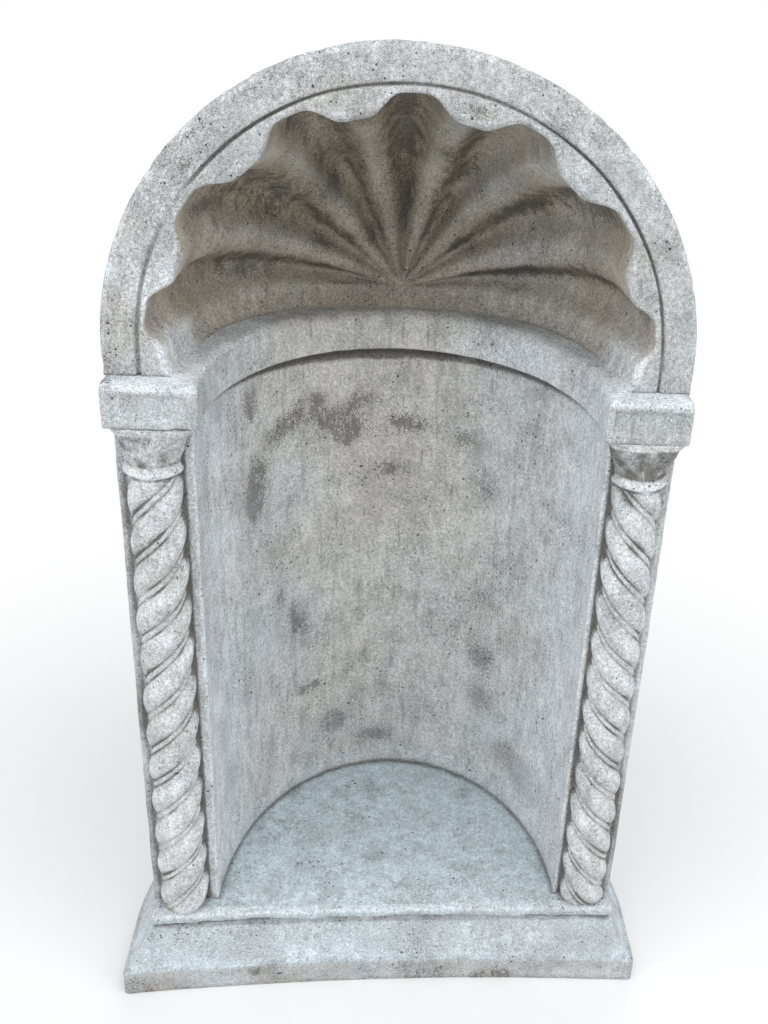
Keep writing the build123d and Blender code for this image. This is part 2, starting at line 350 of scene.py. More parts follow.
# Colour of dark stains, also used for painted shade lines in the shell's flutes
STAIN_AND_SHADE_COLOUR = (0.085, 0.077, 0.066, 1)
# Pale bluish colour of chalky wear, also used for painted highlights
WEAR_AND_HIGHLIGHT_COLOUR = (0.68, 0.72, 0.755, 1)
PORE_COLOUR = (0.03, 0.029, 0.028, 1)
PORE_WAVER = 0.0016
RELIEF_STRENGTH, RELIEF_DEPTH = 0.7, 0.003


def pitted(n, where, cluster, scale, share, largest):
    """Small round holes: mask of a share of random cells, each with a hole up to largest of a cell wide."""
    cells = n.add("TexVoronoi")
    n.put(cells.inputs["Vector"], where)
    cells.inputs["Scale"].default_value = scale
    picked = n.add("SeparateColor")
    n.put(picked.inputs[0], cells.outputs["Color"])
    crowding = n.ramp(cluster, 0.35, 0.62, 0.35, 1.2)
    size = n.times(n.ramp(picked.outputs[0], 1 - share, 1.0, 0.0, largest), crowding)
    return n.math("LESS_THAN", cells.outputs["Distance"], size)


def pores(n, where, cluster):
    """Mask of wide and narrow pores with wavering outlines."""
    waver = n.add("TexNoise")
    n.put(waver.inputs["Vector"], where)
    waver.inputs["Scale"].default_value = 400.0
    uneven = n.add("VectorMath", operation="MULTIPLY_ADD")
    n.put(uneven.inputs[0], waver.outputs["Color"])
    uneven.inputs[1].default_value = (PORE_WAVER, PORE_WAVER, PORE_WAVER)
    n.put(uneven.inputs[2], where)
    wide = pitted(n, uneven.outputs[0], cluster, 85.0, 0.3, 0.14)
    narrow = pitted(n, uneven.outputs[0], cluster, 180.0, 0.45, 0.23)
    return n.math("MAXIMUM", wide, narrow)


def stone(name, cool, warm, rough, streaks=0.0):
    """Weathered cast concrete: clouds, speckle, pores, streaks, grime and painted shade in the hollows, worn pale
    edges and painted highlights.
    """
    material, n, shader = new_material(name)
    where = n.add("TexCoord").outputs["Object"]
    clouds = n.noise(where, 6.0, 4.0)
    cluster = n.noise(where, 16.0, 3.0)
    mottle = n.noise(where, 30.0, 6.0, 0.62)
    ragged = n.noise(n.squeezed(where, 0.5), 62.0, 8.0, 0.74)
    grain = n.noise(where, 260.0, 3.0, 0.7)
    specks = n.noise(where, 520.0, 2.0, 0.6)
    fine = n.noise(where, 800.0, 1.0)
    crowd = n.sum(specks, n.away(cluster, 0.4))
    pore = pores(n, where, cluster)

    # Bare stone, from cool to warm, with darker clouds and streaks
    tone = n.sum(n.mask("warm"), n.away(clouds, 1.6))
    colour = n.mix(n.ramp(tone, 0.0, 1.0), cool, warm)
    colour = n.mix(n.ramp(mottle, 0.45, 0.8, 0.0, 0.45), colour, DARK)
    colour = n.mix(n.ramp(clouds, 0.5, 0.75, 0.0, 0.25), colour, DARK)
    if streaks:
        streak = n.noise(n.squeezed(where, 0.16), 75.0, 5.0, 0.65)
        scratch = n.noise(n.squeezed(where, 0.07), 210.0, 2.0)
        colour = n.mix(n.ramp(streak, 0.5, 0.75, 0.0, streaks), colour, DARK)
        colour = n.mix(n.ramp(scratch, 0.66, 0.72, 0.0, streaks), colour, DARK)

    # Weathering from the masks: grime with painted shade, brown film with painted shade, torn dark stains with
    # painted shade lines, chalky wear with painted highlights
    torn = n.sum(n.away(ragged, 1.6), n.away(specks, 0.9))
    grime_and_shade = n.torn_mask("grime_and_shade", torn, (0.15, 0.95), (0.0, 0.1), 0.85)
    colour = n.mix(grime_and_shade, colour, GRIME_AND_SHADE_COLOUR)
    brown = n.mix(n.ramp(ragged, 0.42, 0.62), BROWN_PALE, BROWN_DARK)
    brown = n.mix(n.ramp(crowd, 0.5, 0.66, 0.0, 0.7), brown, BROWN_SPECK)
    # Brown patina film, which in the shell also paints shade
    film_and_shade = n.sum(n.mask("patina_and_shade"), n.away(grain, 0.5))
    colour = n.mix(n.ramp(film_and_shade, 0.1, 1.0, 0.0, 0.95), colour, brown)
    torn = n.sum(n.away(ragged, 2.8), n.away(grain, 1.5), n.away(specks, 1.6))
    # Torn dark stains, which in the shell also paint shade lines
    stain_and_shade = n.torn_mask("stain_and_shade", torn, (0.34, 0.66), (0.03, 0.25), 0.75)
    colour = n.mix(stain_and_shade, colour, STAIN_AND_SHADE_COLOUR)
    # Pale chalky wear and painted highlights
    chalk_and_highlight = n.torn_mask("wear_and_highlight", n.away(ragged, 0.9), (0.0, 1.0), (0.0, 0.12), 0.75)
    colour = n.mix(chalk_and_highlight, colour, WEAR_AND_HIGHLIGHT_COLOUR)

    # Grain, specks and pores over everything
    rough_tone = n.sum(n.away(grain, 1.5 * rough), n.away(fine, 1.7 * rough), n.away(ragged, 1.3 * rough), 1.08)
    colour = n.mix(1.0, colour, rough_tone, "MULTIPLY")
    colour = n.mix(n.ramp(crowd, 0.54, 0.68, 0.0, 0.63), colour, DARK)
    colour = n.mix(n.times(pore, 0.85), colour, PORE_COLOUR)
    n.put(shader.inputs["Base Color"], colour)
    n.put(shader.inputs["Roughness"], n.ramp(mottle, 0.3, 0.7, 0.82, 0.97))
    shader.inputs["Specular IOR Level"].default_value = 0.25

    sunk_specks = n.ramp(crowd, 0.56, 0.7)
    height = n.sum(n.times(mottle, 0.7), n.times(grain, 0.5), n.times(sunk_specks, -0.25), n.times(pore, -0.6))
    relief = n.add("Bump")
    relief.inputs["Strength"].default_value = RELIEF_STRENGTH
    relief.inputs["Distance"].default_value = RELIEF_DEPTH
    n.put(relief.inputs["Height"], height)
    n.put(shader.inputs["Normal"], relief.outputs[0])
    return material


base_stone = stone("base_stone", (0.50, 0.575, 0.615, 1), (0.51, 0.52, 0.52, 1), rough=0.95)
body_stone = stone("body_stone", (0.55, 0.58, 0.59, 1), (0.63, 0.605, 0.56, 1), rough=1.0, streaks=0.5)
column_stone = stone("column_stone", (0.60, 0.615, 0.62, 1), (0.58, 0.57, 0.55, 1), rough=1.15)
hood_stone = stone("hood_stone", (0.45, 0.468, 0.475, 1), (0.52, 0.475, 0.40, 1), rough=1.2)


# Body: jambs, round wall, impost band and abacus blocks in one casting

FACE_COUNT, SIDE_COUNT, BACK_COUNT = 34, 20, 118
INNER_COUNT = 2 * FACE_COUNT + 2 * SIDE_COUNT + BACK_COUNT
WALL_ROWS, CAP_ROWS = 122, 8
INNER_GATHER, FACE_GATHER, WALL_GATHER = 1.6, 1.2, 0.8
ARRIS, BACK_ARRIS = 3.5, 2.0
WALL_SINK, WALL_STOP = 2.0, 12.0
BAND_INSET, BAND_ROUND, BAND_LEAN, ABACUS_LEAN = 10.0, 11.0, 14.0, 6.0
PANEL_MARGIN, PANEL_LOW, PANEL_HIGH, PANEL_EDGE = 9.0, 10.0, 9.0, 2.0
LEFT_SINK, RIGHT_SINK, CHIP_DEPTH = 3.2, 4.4, 2.2
COLUMN_EDGE = 30.0

# Dark patches on the wall: direction in degrees, height, half width in degrees, half height, strength
STAINS = [
    (161, 796, 3.5, 16, 0.75), (145, 776, 3.5, 22, 0.6), (126, 731, 6, 13, 0.75), (112, 722, 6, 14, 0.8),
    (108, 700, 5, 16, 0.85), (135, 718, 5, 14, 0.6), (120, 752, 6, 12, 0.5), (102, 742, 5, 12, 0.5),
    (143, 672, 5, 30, 0.6), (144, 636, 4, 22, 0.65), (86, 708, 9, 14, 0.45), (92, 640, 9, 16, 0.4),
    (65, 697, 7, 14, 0.4), (56, 634, 5, 22, 0.4), (18, 488, 4, 22, 0.45), (55, 462, 7, 26, 0.4),
    (54, 292, 6, 26, 0.6), (38, 221, 9, 24, 0.75), (27, 205, 7, 26, 0.65), (55, 368, 6, 30, 0.5),
    (164, 262, 5, 40, 0.7), (166, 350, 4, 32, 0.5), (122, 305, 7, 9, 0.5), (112, 228, 8, 22, 0.5),
    (97, 188, 8, 14, 0.55), (126, 428, 4, 34, 0.5), (134, 474, 3, 26, 0.4), (176, 560, 4, 60, 0.3),
]
STAIN_STRENGTH, STAIN_LIMIT = 1.6, 0.66


def body_loop(inset, front):
    """Plan of the body at one level: inner curve, front faces, sides and round back."""
    half, depth = OPENING_HALF - inset, NICHE_DEPTH - inset
    turns = np.linspace(0, math.pi, 181)[1:-1]
    inner = [(OPENING_SHIFT + half * math.cos(turn), depth * math.sin(turn)) for turn in turns]
    turns = np.linspace(BACK_START, math.pi - BACK_START, 121)[1:-1]
    back = [(-BACK_HALF * math.cos(turn), BACK_Y * math.sin(turn)) for turn in turns]
    share = front / ABACUS_FRONT
    start_x = half - (half - ABACUS_INNER) * share
    outer = JAMB_HALF + (ABACUS_OUTER - JAMB_HALF) * share
    corners = [(OPENING_SHIFT + start_x, -front), *inner, (OPENING_SHIFT - start_x, -front), (-outer, -front)]
    radii = [ARRIS, *[0] * len(inner), ARRIS, ARRIS]
    corners += [(-JAMB_HALF, FRAME_DEPTH), (-BACK_STEP_X, FRAME_DEPTH), *back]
    corners += [(BACK_STEP_X, FRAME_DEPTH), (JAMB_HALF, FRAME_DEPTH), (outer, -front)]
    radii += [BACK_ARRIS, 0, *[0] * len(back), 0, BACK_ARRIS, ARRIS]
    path, station = rounded_path(corners, radii)
    inner_end = len(inner) + 1
    step_left = inner_end + 3
    step_right = step_left + len(back) + 1
    face, side = spread(FACE_COUNT + 1, FACE_GATHER), spread(SIDE_COUNT + 1, FACE_GATHER)
    stretches = [
        (0, station[inner_end], spread(INNER_COUNT + 1, INNER_GATHER)),
        (station[inner_end], station[inner_end + 1], face),
        (station[inner_end + 1], station[step_left], side),
        (station[step_left], station[step_right], np.linspace(0, 1, BACK_COUNT + 1)),
        (station[step_right], station[-2], side),
        (station[-2], station[-1], face),
    ]
    return np.vstack([sample(path, *stretch) for stretch in stretches])


def band_levels():
    """Band and abacus, level by level: height, inset of the inner face, projection of the front."""
    levels = [
        (BAND_LOW_Z - 9.0, -0.5, 0.0),
        (BAND_LOW_Z - 6.5, -3.0, 0.0),
        (BAND_LOW_Z - 1.0, -4.0, 0.0),
        (BAND_LOW_Z - 0.5, 2.0, 12.0),
        (BAND_LOW_Z - 0.5, 6.0, ABACUS_FRONT - 12.0),
        (BAND_LOW_Z, 8.5, ABACUS_FRONT - 3.0),
        (BAND_LOW_Z + 1.2, 9.5, ABACUS_FRONT - 0.8),
        (BAND_LOW_Z + 3.5, BAND_INSET, ABACUS_FRONT),
    ]
    round_z = BAND_HIGH_Z - BAND_ROUND
    levels += [(z, BAND_INSET, ABACUS_FRONT) for z in np.linspace(BAND_LOW_Z + 5.5, round_z - 1, 17)]
    for rise, drop in quarter_round(9)[1:]:
        inset, front = BAND_INSET - BAND_LEAN * drop, ABACUS_FRONT - ABACUS_LEAN * drop
        levels.append((round_z + BAND_ROUND * rise, inset, front))
    return levels


def body_mesh():
    """Stack the plan loops and close them with a ledge on top; also marks the inner face and the ledge."""
    band = band_levels()
    wall_low, wall_high = FLOOR_Z - WALL_SINK, BAND_LOW_Z - WALL_STOP
    wall = [(z, 0.0, 0.0) for z in wall_low + (wall_high - wall_low) * spread(WALL_ROWS, WALL_GATHER)]

    # On the back the levels are spread evenly, since the band shows only inside and in front
    even = [level[0] for level in wall] + list(np.linspace(wall_high, BAND_HIGH_Z, len(band) + 1)[1:])
    to_back = smooth(0, 1, np.linspace(0, 1, SIDE_COUNT))
    inside, face, back = np.zeros(INNER_COUNT), np.zeros(FACE_COUNT), np.ones(BACK_COUNT)
    behind = np.concatenate([inside, face, to_back, back, to_back[::-1], face])
    rows = []
    for (z, inset, front), even_z in zip(wall + band, even):
        rows.append(np.column_stack([body_loop(inset, front), z + (even_z - z) * behind]))
    faces = grid_faces(len(rows), len(behind), True)
    points = np.vstack(rows)

    top = rows[-1]
    inner = top[: INNER_COUNT + 1]
    outer = np.vstack([top[:1], top[INNER_COUNT + 1 :][::-1], top[INNER_COUNT : INNER_COUNT + 1]])
    shares = np.linspace(0, 1, CAP_ROWS)[:, None, None]
    cap = (inner[None] * (1 - shares) + outer[None] * shares).reshape(-1, 3)
    faces += grid_faces(CAP_ROWS, INNER_COUNT + 1, False, len(points))
    on_cap = np.arange(len(points) + len(cap)) >= len(points)
    inner_face = np.concatenate([np.tile(np.arange(len(behind)) < INNER_COUNT, len(rows)), np.zeros(len(cap), bool)])
    return np.vstack([points, cap]), faces, inner_face, on_cap


def body_masks(points, inner_face, on_cap):
    """Where the body is grimy, stained, worn pale, warm and brown, with painted shade along the floor, under the
    band and beside the columns, and painted light on the band's top and right side.
    """
    x, y, z = points.T
    below_band, above_band = z < BAND_LOW_Z, z > BAND_LOW_Z
    wall = inner_face & below_band
    jamb_face = (np.abs(y) < 4) & below_band
    from_column = np.abs(np.abs(x) - COLUMN_X)
    inner_side = np.abs(x) < COLUMN_X
    turn = np.degrees(np.arctan2(np.maximum(y, 0) / NICHE_DEPTH, (x - OPENING_SHIFT) / OPENING_HALF))
    # Painted shadow under the band, reaching lower at the back of the niche, mixed with dirt
    line_z = BAND_LOW_Z - 6 - (8 + 3 * lattice_noise(points, 45, 52)) * bump(turn, 92, 42)
    under_band = smooth(line_z - 7, line_z + 3, z) * wall
    outer_jamb = ~inner_side * smooth(COLUMN_EDGE - 2, COLUMN_EDGE + 2, from_column) * jamb_face
    abacus_face = y < 6 - ABACUS_FRONT
    outside = ~inner_face * (y > 3) * ~on_cap
    ring_foot = (np.abs(y) < 8) * on_cap * smooth(OPENING_HALF + 12, OPENING_HALF + 20, np.abs(x))
    # Grime with painted shade: a little over the niche wall, strong in the corner along the floor and under the band
    grime_and_shade = 0.1 * wall + 0.85 * bump(z, FLOOR_Z, 5) * wall + under_band
    # Painted shade in the gaps beside the columns, stronger on the side towards the niche
    grime_and_shade += (0.5 + 0.8 * inner_side) * bump(from_column, COLUMN_EDGE, 4) * jamb_face
    grime_and_shade += 0.5 * outer_jamb * (0.6 + lattice_noise(points, 70, 51))
    # Darker abacus fronts, the right one more, darker outer faces, and painted shade in the corner where the ring
    # stands on the ledge
    grime_and_shade += 0.28 * abacus_face * (1 + 0.35 * (x > 0)) + 0.3 * outside + 0.75 * ring_foot

    stain_and_shade = np.minimum(STAIN_STRENGTH * patches(STAINS, turn, z) * wall, STAIN_LIMIT)

    at_back = bump(turn, 95, 48) * inner_face
    low_wall = smooth(480, 160, z) * wall
    warm = 0.1 + 0.75 * at_back * (0.6 + 0.4 * smooth(300, 700, z))
    warm += 0.35 * bump(z, FLOOR_Z + 26, 18) * wall + 0.3 * low_wall

    ends = smooth(230, 160, y) * smooth(100, 190, np.abs(x))
    patina_and_shade = (0.12 * above_band + 0.4 * on_cap) * at_back * (1 - 0.5 * ends)
    patina_and_shade += 0.42 * on_cap * bump(turn, 92, 50)

    near_front = 1 - smooth(60, 190, y)
    front_arris = bump(y, 0, 3) * bump(np.abs(x - OPENING_SHIFT), OPENING_HALF, 4) * below_band
    # Painted highlight on the band's rounded top edge and the ledge, strongest at the ledge's front ends
    wear_and_highlight = 1.2 * smooth(BAND_HIGH_Z - 7, BAND_HIGH_Z - 2, z) * (ends + 0.2)
    # Paler low on the wall and just above the floor
    wear_and_highlight += 0.5 * bump(z, FLOOR_Z + 20, 14) * wall + 0.25 * smooth(400, 150, z) * wall
    # Paler towards the front of the niche and along the opening's front edge
    wear_and_highlight += 0.65 * near_front * inner_face * (z < BAND_LOW_Z - 8) + 0.7 * front_arris
    # Painted light on the right side of the band and wall
    wear_and_highlight += (0.8 * above_band + 0.2 * wall) * smooth(0, 150, x) * inner_face
    return {"grime_and_shade": grime_and_shade, "stain_and_shade": stain_and_shade, "wear_and_highlight": wear_and_highlight, "warm": warm, "patina_and_shade": patina_and_shade}


def carve_abacus(place, normal):
    """Sink the panels in the abacus fronts and chip the blocks' edges."""
    x, y, z = place.T
    middle_x = (ABACUS_INNER + ABACUS_OUTER) / 2
    half_x = (ABACUS_OUTER - ABACUS_INNER) / 2 - PANEL_MARGIN
    inside = smooth(0, 2.2, half_x - np.abs(np.abs(x) - middle_x))
    inside *= smooth(0, PANEL_EDGE, z - BAND_LOW_Z - PANEL_LOW) * smooth(0, PANEL_EDGE, BAND_HIGH_Z - PANEL_HIGH - z)
    inside *= y < 6 - ABACUS_FRONT
    place[:, 1] += (np.where(x > 0, RIGHT_SINK, LEFT_SINK) + 0.9 * fractal(place, 14, 43, 2)) * inside
    edges = bump(place[:, 1], -ABACUS_FRONT, 6) * (z > BAND_LOW_Z - 2)
    edges *= 1 - smooth(2, 9, np.minimum(BAND_HIGH_Z - z, z - BAND_LOW_Z))
    broken = smooth(0.25, 0.75, lattice_noise(place, 17, 41))
    broken += 0.5 * smooth(0.2, 0.6, lattice_noise(place, 7, 42))
    return place - normal * (CHIP_DEPTH * edges * broken)[:, None]


def build_body():
    points, faces, inner_face, on_cap = body_mesh()
    masks = body_masks(points, inner_face, on_cap)
    kinds = [(kind, side) for kind in ("wall", "impost") for side in ("left", "right")]
    nodes = [f"{kind}_{side}_{part}" for kind, side in kinds for part in ("front", "middle", "back")]
    nodes += ["left_jamb", "right_jamb", "left_abacus", "right_abacus"]
    make_piece("niche_body", points, faces, masks, body_stone, nodes, carve=carve_abacus)


# Hood: scallop shell, front ring, groove, archivolt and dome as one turned sheet

SHELL_DEPTH = 310.0
RIDGE_RADIUS, FLUTE_HEIGHT, FLUTE_FADE = 245.0, 21.5, 72.0
CRESTS = [9.0, 34.5, 63.5, 90.0, 116.5, 145.5, 171.0]
RIDGES = [-3.0, 20.5, 50.0, 77.0, 103.0, 130.0, 159.5, 183.0]
HOOD_POWER = 2.5
RIDGE_ARRIS, FLUTE_ARRIS = 9.0, 4.0
GROOVE_RADIUS, GROOVE_DEPTH, GROOVE_SHOULDER = 275.0, 4.2, 3.6
GROOVE_STEPS = ((-2.2, 0.2), (-1.3, 0.85), (0.0, 1.0), (1.3, 0.85), (2.2, 0.2), (3.4, 0.0))
EDGE_ROUND, EDGE_TAPER = 7.0, 6.0
SHELL_ROWS, DOME_ROWS, HOOD_STATIONS = 110, 48, 361

# The shell's foot drops to the ledge and turns in with a cove
STILT = ARCH_Z - BAND_HIGH_Z + 2.0
STILT_SHARES = np.array([1.0, 0.985, 0.95, 0.89, 0.8, 0.68, 0.53, 0.36, 0.18])
COVE_WIDTH, COVE_DEPTH = 15.0, 22.0

# Dark patches in the shell: bearing and lean in degrees, half widths, strength
SHELL_STAINS = [
    (92, 38, 6, 10, 0.9), (120, 64, 4, 16, 0.7), (124, 34, 6, 6, 0.9), (122, 14, 8, 4, 0.8),
    (150, 70, 2, 14, 0.8), (146, 60, 2, 10, 0.7), (148, 42, 4, 8, 0.7), (152, 22, 6, 6, 0.7),
    (172, 44, 4, 12, 0.65), (178, 14, 2, 6, 0.6), (168, 90, 2, 3, 0.4), (92, 66, 6, 24, 0.6),
    (74, 46, 6, 4, 0.6), (60, 84, 6, 6, 0.5), (34, 74, 4, 16, 0.85), (38, 42, 4, 8, 0.6),
    (36, 18, 8, 4, 0.6), (12, 30, 4, 10, 0.7), (18, 66, 4, 14, 0.55), (10, 84, 4, 8, 0.35),
    (88, 22, 8, 6, 0.5), (64, 36, 4, 6, 0.6),
]
# Dark patches on the arch's face: bearing, radius, half widths in degrees and millimetres, strength
RING_STAINS = [
    (140, 309, 3, 8, 0.7), (140, 289, 3, 6, 0.5), (132, 301, 3, 8, 0.3), (117, 309, 3, 5, 0.6),
    (158, 300, 3, 9, 0.2), (77, 261, 4, 6, 0.6), (60, 279, 3, 8, 0.5), (53, 296, 3, 6, 0.3),
    (52, 246, 3, 6, 0.25), (26, 296, 3, 6, 0.35), (17, 303, 3, 5, 0.25), (21, 261, 3, 8, 0.35),
    (7, 274, 3, 5, 0.3),
]
SHELL_STAIN_AND_SHADE_LIMIT = 0.85


def flute_wave(degrees):
    """0 on the ridges, 1 in the middle of the flutes."""
    wave = np.zeros(len(degrees))
    for crest, before, after in zip(CRESTS, RIDGES, RIDGES[1:]):
        rise = np.clip((degrees - before) / (crest - before), 0, 1)
        fall = np.clip((after - degrees) / (after - crest), 0, 1)
        inside = (degrees >= before) & (degrees <= after)
        wave += inside * (0.5 - 0.5 * np.cos(math.pi * np.minimum(rise, fall)))
    return wave


def flute_place(degrees):
    """Place across each flute: -1 on its lower ridge, 0 on its crest, 1 on its upper ridge."""
    place = np.zeros(len(degrees))
    for crest, before, after in zip(CRESTS, RIDGES, RIDGES[1:]):
        inside = (degrees >= before) & (degrees <= after)
        across = (degrees - crest) / np.where(degrees > crest, after - crest, crest - before)
        if crest == 90:
            across = 0.35 - 0.9 * np.abs(across)
        place[inside] = (-across if crest > 90 else across)[inside]
    return place


def hood_mesh():
    """Turn the hood's profile through the arch, waving its inner part; gives marks for each point too."""
    degrees = np.linspace(0, 180, HOOD_STATIONS)
    drops = STILT * STILT_SHARES
    bearing = np.concatenate([np.zeros(len(drops)), degrees, np.full(len(drops), 180.0)])
    drop = np.concatenate([drops, np.zeros(len(degrees)), drops[::-1]])
    stations = len(bearing)
    turn = np.radians(bearing)
    cove_share = 1 - np.sqrt(1 - (drop / STILT) ** 2)
    rows, marks = [], []

    def ring(radius, y, inner=0.0, lean=0.0, groove=0.0, edge=0.0, cove=0.0):
        radius = np.broadcast_to(radius, stations) - cove * cove_share
        up = ARCH_Z + radius * np.sin(turn) - drop
        rows.append(np.column_stack([radius * np.cos(turn), np.broadcast_to(y, stations), up]))
        marks.append([np.broadcast_to(mark, stations) for mark in (inner, lean, groove, edge)])

    # Shell, from its deepest point to the scalloped rim
    wave = flute_wave(bearing)
    rim_wave = smooth(0.04, 0.96, wave)
    arris = RIDGE_ARRIS - (RIDGE_ARRIS - FLUTE_ARRIS) * rim_wave
    for lean in np.linspace(0, math.pi / 2, SHELL_ROWS):
        depth_share = math.cos(lean) ** (2 / HOOD_POWER)
        width_share = math.sin(lean) ** (2 / HOOD_POWER)
        steep = np.array([width_share, depth_share]) ** (HOOD_POWER - 1) / (RIDGE_RADIUS, SHELL_DEPTH)
        outward = steep / np.linalg.norm(steep)
        fade = 1 - math.exp(-((RIDGE_RADIUS * width_share / FLUTE_FADE) ** 1.6))
        open_share = smooth(0.45, 1.0, width_share)
        section = wave**2.1 * (1 - open_share) + rim_wave * open_share
        cut = FLUTE_HEIGHT * fade * (1 + 0.2 * bump(depth_share, 0.5, 0.3)) * section
        radius = RIDGE_RADIUS * width_share + cut * outward[0]
        inward = arris + (SHELL_DEPTH - arris) * depth_share + cut * outward[1]
        inward = inward - COVE_DEPTH * depth_share * cove_share
        ring(radius, inward, 1.0, math.degrees(lean), cove=COVE_WIDTH * width_share)
    rim_radius = RIDGE_RADIUS + FLUTE_HEIGHT * rim_wave
    for rise, setback in quarter_round(8)[1:]:
        inner = 0.5 - 0.5 * rise
        ring(rim_radius + arris * setback, arris * (1 - rise), inner, 90.0, edge=1.0, cove=COVE_WIDTH)

    # Front face with its groove, which is faint at the upper left
    shoulder = GROOVE_RADIUS - GROOVE_SHOULDER
    for share in np.linspace(0, 1, 8)[1:]:
        ring((rim_radius + arris) * (1 - share) + shoulder * share, 0.0, cove=COVE_WIDTH * (1 - share))
    faint = bump(bearing, 146, 9)
    along = np.column_stack([GROOVE_RADIUS * turn, np.zeros(stations), np.zeros(stations)])
    deep = GROOVE_DEPTH * (0.85 + 0.3 * lattice_noise(along, 90, 5)) * (1 - 0.7 * faint)
    wander = 0.8 * lattice_noise(along, 60, 6)
    for offset, share in GROOVE_STEPS:
        ring(GROOVE_RADIUS + wander + offset, deep * share, groove=share * (1 - 0.6 * faint))
    face_start = GROOVE_RADIUS + GROOVE_STEPS[-1][0]
    for radius in np.linspace(face_start, ARCH_RADIUS - EDGE_ROUND, 11)[1:]:
        ring(radius, 0.0)

    # Arch's edge, its outside and the dome behind
    for rise, setback in quarter_round(6)[1:]:
        ring(ARCH_RADIUS - EDGE_ROUND * (1 - rise), EDGE_ROUND * setback, edge=1.0)
    for share in np.linspace(0, 1, 10)[1:]:
        ring(ARCH_RADIUS - EDGE_TAPER * share, EDGE_ROUND + (FRAME_DEPTH - 2 - EDGE_ROUND) * share)
    ring(ARCH_RADIUS - EDGE_TAPER - 1, FRAME_DEPTH)
    for radius in np.linspace(ARCH_RADIUS - EDGE_TAPER - 2, BACK_STEP_X, 4):
        ring(radius, FRAME_DEPTH + 0.5)
    for lean in np.linspace(BACK_START, math.pi / 2, DOME_ROWS)[1:]:
        ring(BACK_HALF * math.cos(lean), BACK_Y * math.sin(lean))

    faces = grid_faces(len(rows), stations, False)
    layers = [np.concatenate(layer) for layer in zip(*marks)]
    layers += [np.tile(layer, len(rows)) for layer in (bearing, flute_place(bearing), drop / STILT)]
    return np.vstack(rows), faces, layers


def hood_masks(points, layers):
    """Where the hood is grimy, stained, worn pale, warm and brown, with painted shade on the flutes' upper sides, in
    the groove and at the feet, and painted highlights on the ridges.
    """
    inner, lean, groove, edge, bearing, across, foot = layers
    x, y, z = points.T
    out = np.hypot(x, z - ARCH_Z)
    high = smooth(ARCH_Z - 10, ARCH_Z + 150, z)
    shell = inner > 0.9
    hollow = shell * smooth(0, 50, y)
    front_face = (inner < 0.1) * (y < 10)
    right_share = smooth(0, 160, x)
    # Painted shade along the upper, downward-facing side of each flute, fading out towards the hinge
    shade_line = bump(across, 0.42, 0.27) * smooth(25, 100, out)
    shell_foot = shell * smooth(0.7, 1.0, foot) * smooth(90, 170, np.abs(x)) * smooth(10, 60, y)
    ring_foot = smooth(0.75, 1.0, foot) * (inner < 0.1) * (y < 12)
    # Grime with painted shade: a little in the hollows, dark along the flutes' upper sides and more so higher up, in
    # the groove, darker on the outside and dome behind, and at the shell's and ring's feet
    grime_and_shade = hollow * (0.04 + 1.1 * shade_line * (0.75 + 0.25 * high))
    grime_and_shade += groove * (0.95 + 0.35 * lattice_noise(points, 90, 17))
    grime_and_shade += 0.3 * (y > 12) * (inner == 0) + 0.75 * shell_foot + 0.9 * ring_foot

    # Brown patina in the hollows, with painted shade: darker higher up under the overhang and on each flute's upper,
    # downward-facing side; less on the right
    shaded_upper_side = smooth(-0.85, 0.3, across) * smooth(1.0, 0.6, across) * smooth(30, 120, out)
    patina_and_shade = hollow * (0.2 + 0.34 * high + 0.42 * shaded_upper_side + 0.3 * fractal(points, 60, 31))
    patina_and_shade *= 1 - 0.3 * right_share

    # Dark patches in the shell and on the arch's face, plus painted shade along the flutes' upper sides
    stain_and_shade = hollow * (patches(SHELL_STAINS, bearing, lean) + 0.5 * shade_line)
    stain_and_shade = np.minimum(stain_and_shade + front_face * patches(RING_STAINS, bearing, out), SHELL_STAIN_AND_SHADE_LIMIT)

    # Paler at the shell's low front ends and on the rounded edges
    ends = smooth(ARCH_Z + 30, ARCH_Z - 10, z) * smooth(150, 50, y) * (inner > 0)
    wear_and_highlight = ends + edge * (0.3 + 0.3 * lattice_noise(points, 25, 8)) * (y < 10)
    # Painted highlight on the lower, upward-facing side of each flute, next to its ridge
    wear_and_highlight += 0.22 * hollow * bump(across, -0.75, 0.3) * smooth(40, 140, out)
    wear_and_highlight += 0.35 * bump(bearing, 166, 14) * front_face
    wear_and_highlight *= 1 - ring_foot
    warm = 0.15 + 0.75 * inner * (1 - 0.4 * right_share)
    return {"grime_and_shade": grime_and_shade, "stain_and_shade": stain_and_shade, "wear_and_highlight": wear_and_highlight, "warm": warm, "patina_and_shade": patina_and_shade}


def chip_arch(place, normal):
    """Break small chips out of the arch's front edge, most at the upper left."""
    x, y, z = place.T
    near = bump(np.hypot(x, z - ARCH_Z), ARCH_RADIUS, 7) * bump(y, 0, 8)
    near *= 1 + 0.8 * bump(np.degrees(np.arctan2(z - ARCH_Z, x)), 128, 22)
    broken = smooth(0.35, 0.8, lattice_noise(place, 22, 9))
    broken += 0.6 * smooth(0.3, 0.7, lattice_noise(place, 9, 10))
    return place - normal * (3.2 * near * broken)[:, None]


def build_hood():
    points, faces, layers = hood_mesh()
    masks = hood_masks(points, layers)
    flutes = ["right_low", "right_middle", "right_high", "centre", "left_high", "left_middle", "left_low"]
    nodes = ["flute_" + flute_name for flute_name in flutes] + ["archivolt"]
    make_piece("shell_hood", points, faces, masks, hood_stone, nodes, carve=chip_arch)


# Base: bowed moulding, quirk, rounded lip and niche floor

